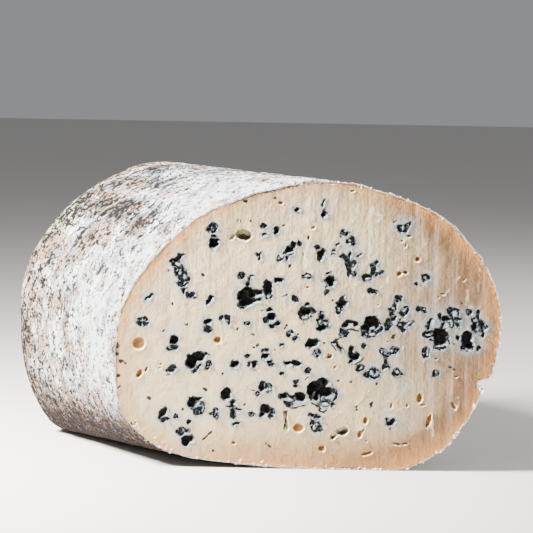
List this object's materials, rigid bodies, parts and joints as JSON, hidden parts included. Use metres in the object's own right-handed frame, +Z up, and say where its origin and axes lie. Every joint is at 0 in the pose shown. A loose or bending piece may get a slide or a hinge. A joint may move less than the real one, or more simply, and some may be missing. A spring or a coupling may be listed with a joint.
{
  "type": "cut piece of blue cheese",
  "caption": "Cut piece of a drum-shaped blue cheese lying on its side, with a mould-pitted oval cut face, a bloomy grey rind and a rounded end.",
  "frame": {"origin": "middle of the box's floor, on the surface that the piece lies on", "axes": "-Y out of the cut face, +X to the right along the cut face's long way, +Z up"},
  "size_m": [0.2058, 0.1486, 0.1208],
  "materials": {
    "paste": "moist ivory cheese paste, slightly waxy",
    "rind": "dry powdery bloom, white over grey and tan",
    "mould": "matt blue-black mould with pale felted edges"
  },
  "bodies": {
    "root": {"cheese": "paste"}
  },
  "joints": []
}
